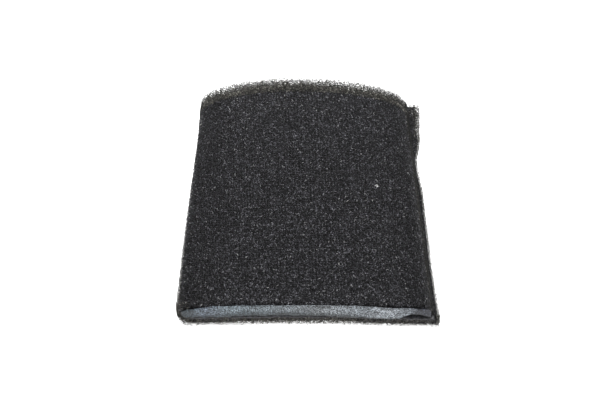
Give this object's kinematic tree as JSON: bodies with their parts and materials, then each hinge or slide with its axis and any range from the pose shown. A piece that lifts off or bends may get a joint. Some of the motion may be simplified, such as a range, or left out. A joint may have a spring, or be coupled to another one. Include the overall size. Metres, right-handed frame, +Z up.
{
  "type": "foam sleeve air filter",
  "caption": "Flat foam sleeve air filter: one foam sheet folded into a sock with an open arched mouth, a glued side seam and a glued closed end.",
  "frame": {"origin": "middle of the footprint, on the surface that the back leaf lies on", "axes": "+Y along the sleeve from the closed end to the open mouth, +X towards the glued side seam, +Z up through the arched front leaf"},
  "size_m": [0.1926, 0.22, 0.0415],
  "materials": {
    "filter_foam": "open-cell polyurethane foam, matt, charcoal black",
    "seam_glue": "dried contact adhesive, dark, satin",
    "glue_skin": "thin pale grey adhesive skin, satin"
  },
  "bodies": {
    "root": {"foam_sleeve": "filter_foam", "side_seam_glue": "seam_glue", "end_seam_glue": "seam_glue", "end_face_glue_skin": "glue_skin"}
  },
  "joints": []
}
